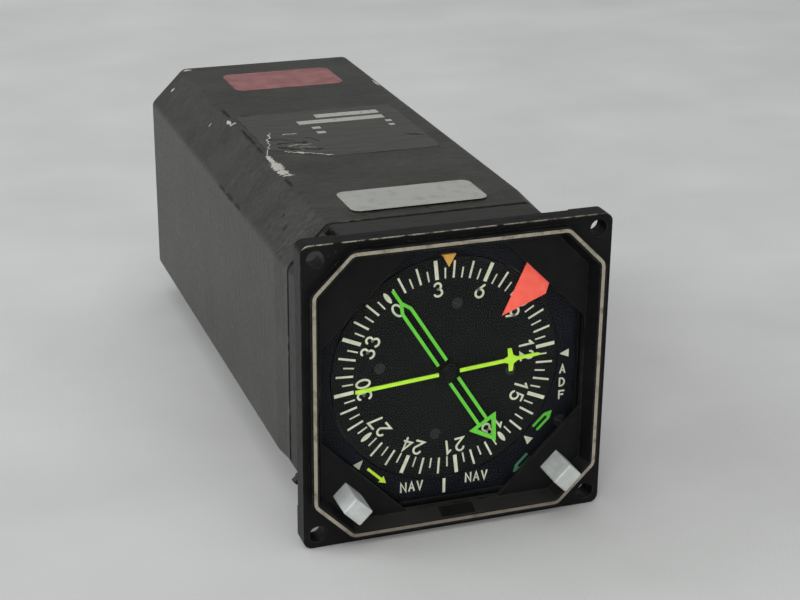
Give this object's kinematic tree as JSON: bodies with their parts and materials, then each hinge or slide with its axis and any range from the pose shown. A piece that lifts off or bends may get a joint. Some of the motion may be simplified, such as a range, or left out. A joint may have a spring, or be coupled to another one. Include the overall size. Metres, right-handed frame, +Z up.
{
  "type": "radio magnetic indicator",
  "caption": "Square-flanged panel instrument: a rotating compass card, a single-bar and a double-bar bearing pointer and a flag behind glass, two push buttons, long chamfered case.",
  "frame": {"origin": "centre of the four-hole mounting pattern, on the rear face of the flange's ears, on the dial's axis", "axes": "+X right seen from the front, +Y along the dial's axis into the panel, +Z up"},
  "size_m": [0.0826, 0.2012, 0.0826],
  "materials": {
    "black_enamel": "satin black instrument enamel on cast aluminium, worn at the edges",
    "case_enamel": "worn satin dark grey enamel on drawn aluminium",
    "cream_paint": "cream filled line",
    "glass": "clear flat cover glass",
    "black_rubber": "black rubber",
    "dial_black": "matt black dial paint",
    "orange_paint": "orange index paint",
    "yellow_light": "yellow-green light",
    "green_light": "green light",
    "pointer_yellow": "fluorescent yellow-green paint",
    "pointer_green": "green paint",
    "flag_red": "red warning paint",
    "button_grey": "light grey moulded plastic",
    "steel": "plain steel",
    "blackened_steel": "blackened steel",
    "aluminium": "machined aluminium",
    "brass": "machined brass",
    "moulding": "black moulded plastic",
    "lamp_white": "frosted lamp caps",
    "board_green": "epoxy glass board",
    "component_black": "moulded packages",
    "lamination": "laminated core with a taped winding",
    "connector_olive": "olive chromate on aluminium",
    "label_foil": "bare foil labels"
  },
  "bodies": {
    "housing": {"annunciator_lamps": "lamp_white", "bezel_casting": "black_enamel", "bezel_line": "cream_paint", "blank_plate": "moulding", "board_components": "component_black", "button_spring_left": "steel", "button_spring_right": "steel", "button_switches": "moulding", "case_can": "case_enamel", "case_screws": "blackened_steel", "case_seal": "black_rubber", "circuit_boards": "board_green", "connector_insert": "moulding", "cover_glass": "glass", "dial_lamps": "lamp_white", "dial_mask": "dial_black", "dim_arrow_light": "green_light", "double_pointer_synchro": "aluminium", "flag_meter": "aluminium", "frame_pillars": "aluminium", "front_plate": "aluminium", "glass_gasket": "black_rubber", "glass_retainer": "aluminium", "green_arrow_light": "green_light", "heading_servo": "aluminium", "heading_synchro": "aluminium", "lamp_ring": "board_green", "mask_pillars": "aluminium", "mask_screws": "blackened_steel", "mechanism_screws": "steel", "middle_plate": "aluminium", "neck_screws": "blackened_steel", "power_transformer": "lamination", "rear_connector": "connector_olive", "rear_plate": "aluminium", "shaft_bearings": "brass", "single_pointer_synchro": "aluminium", "tail_frame": "aluminium", "top_index": "orange_paint", "top_labels": "label_foil", "yellow_arrow_light": "yellow_light"},
    "compass_card": {"compass_card": "dial_black", "card_screws": "blackened_steel", "card_hub": "aluminium", "card_gear": "brass", "heading_gear": "brass"},
    "servo_pinion": {"servo_pinion": "steel"},
    "heading_synchro_rotor": {"heading_synchro_gear": "steel"},
    "single_pointer": {"single_pointer": "pointer_yellow", "single_pointer_hub": "dial_black", "inner_shaft": "steel"},
    "double_pointer": {"double_pointer": "pointer_green", "double_pointer_hub": "dial_black", "pointer_sleeve": "steel", "sleeve_gear": "brass"},
    "double_pointer_synchro_rotor": {"double_pointer_synchro_gear": "steel"},
    "warning_flag": {"warning_flag": "flag_red", "flag_shaft": "steel"},
    "button_left": {"button_left": "button_grey"},
    "button_right": {"button_right": "button_grey"}
  },
  "joints": [
    {"name": "compass_card_turn", "type": "hinge", "parent": "housing", "child": "compass_card", "pos_m": [0, 0, 0], "axis": [0, 1, 0], "continuous": true},
    {"name": "servo_pinion_turn", "type": "hinge", "parent": "housing", "child": "servo_pinion", "pos_m": [-0.01785, 0, -0.01785], "axis": [0, 1, 0], "continuous": true},
    {"name": "heading_synchro_turn", "type": "hinge", "parent": "housing", "child": "heading_synchro_rotor", "pos_m": [-0.01701, 0, 0.01701], "axis": [0, 1, 0], "continuous": true},
    {"name": "single_pointer_turn", "type": "hinge", "parent": "housing", "child": "single_pointer", "pos_m": [0, 0, 0], "axis": [0, 1, 0], "continuous": true},
    {"name": "double_pointer_turn", "type": "hinge", "parent": "housing", "child": "double_pointer", "pos_m": [0, 0, 0], "axis": [0, 1, 0], "continuous": true},
    {"name": "double_pointer_synchro_turn", "type": "hinge", "parent": "housing", "child": "double_pointer_synchro_rotor", "pos_m": [0.01701, 0, -0.01701], "axis": [0, 1, 0], "continuous": true},
    {"name": "warning_flag_swing", "type": "hinge", "parent": "housing", "child": "warning_flag", "pos_m": [0.026, 0, 0.02875], "axis": [0, 1, 0], "range_deg": [-69, 0], "stiffness_Nm_per_rad": 0.0003},
    {"name": "button_left_press", "type": "slide", "parent": "housing", "child": "button_left", "axis": [0, 1, 0], "range_m": [0, 0.0018], "stiffness_N_per_m": 600, "springref_m": -0.001, "deforming": ["button_spring_left"]},
    {"name": "button_right_press", "type": "slide", "parent": "housing", "child": "button_right", "axis": [0, 1, 0], "range_m": [0, 0.0018], "stiffness_N_per_m": 600, "springref_m": -0.001, "deforming": ["button_spring_right"]}
  ],
  "couplings": [
    {"joint": "servo_pinion_turn", "follows": "compass_card_turn", "ratio": -6},
    {"joint": "heading_synchro_turn", "follows": "compass_card_turn", "ratio": -1},
    {"joint": "double_pointer_synchro_turn", "follows": "double_pointer_turn", "ratio": -1}
  ]
}
